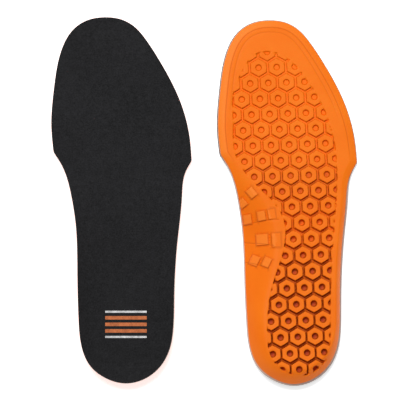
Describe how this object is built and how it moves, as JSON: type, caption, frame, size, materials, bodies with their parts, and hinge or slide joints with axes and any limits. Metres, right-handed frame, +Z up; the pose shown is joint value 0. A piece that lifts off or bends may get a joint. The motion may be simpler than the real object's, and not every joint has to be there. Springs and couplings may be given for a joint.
{
  "type": "pair of cushioned insoles",
  "caption": "Pair of full-length cushioned insoles with a knit cover, a foam layer and a honeycomb-grooved moulded footbed, lying cover up and sole up, each bending at the ball of the foot.",
  "frame": {"origin": "on the table, under the middle of the pair's bounding box", "axes": "+Y from heel to toes, +Z up, +X from the cover-up right insole to the sole-up left insole"},
  "size_m": [0.244, 0.2934, 0.0257],
  "materials": {
    "cover": "matte brushed knit",
    "foam": "matte closed-cell foam",
    "footbed": "satin moulded elastomer",
    "print_white": "flat heat-transfer film",
    "print_orange": "flat heat-transfer film"
  },
  "bodies": {
    "right_rear": {"right_cover_rear": "cover", "right_foam_rear": "foam", "right_footbed_rear": "footbed", "right_print_white": "print_white", "right_print_orange": "print_orange"},
    "right_forefoot": {"right_cover_forefoot": "cover", "right_foam_forefoot": "foam", "right_footbed_forefoot": "footbed"},
    "left_rear": {"left_cover_rear": "cover", "left_foam_rear": "foam", "left_footbed_rear": "footbed", "left_print_white": "print_white", "left_print_orange": "print_orange"},
    "left_forefoot": {"left_cover_forefoot": "cover", "left_foam_forefoot": "foam", "left_footbed_forefoot": "footbed"}
  },
  "joints": [
    {"name": "right_flex", "type": "hinge", "parent": "right_rear", "child": "right_forefoot", "pos_m": [-0.06573, 0.04194, 0.0065], "axis": [0.9962, -0.0872, 0], "range_deg": [0, 45], "stiffness_Nm_per_rad": 0.5},
    {"name": "left_lift", "type": "slide", "parent": "right_rear", "child": "left_rear", "axis": [0, 0, 1], "range_m": [0, 0.12]},
    {"name": "left_flex", "type": "hinge", "parent": "left_rear", "child": "left_forefoot", "pos_m": [0.06661, 0.04029, 0.01296], "axis": [0.9935, -0.0779, -0.0831], "range_deg": [0, 35], "stiffness_Nm_per_rad": 0.5, "springref_deg": -5.73}
  ]
}
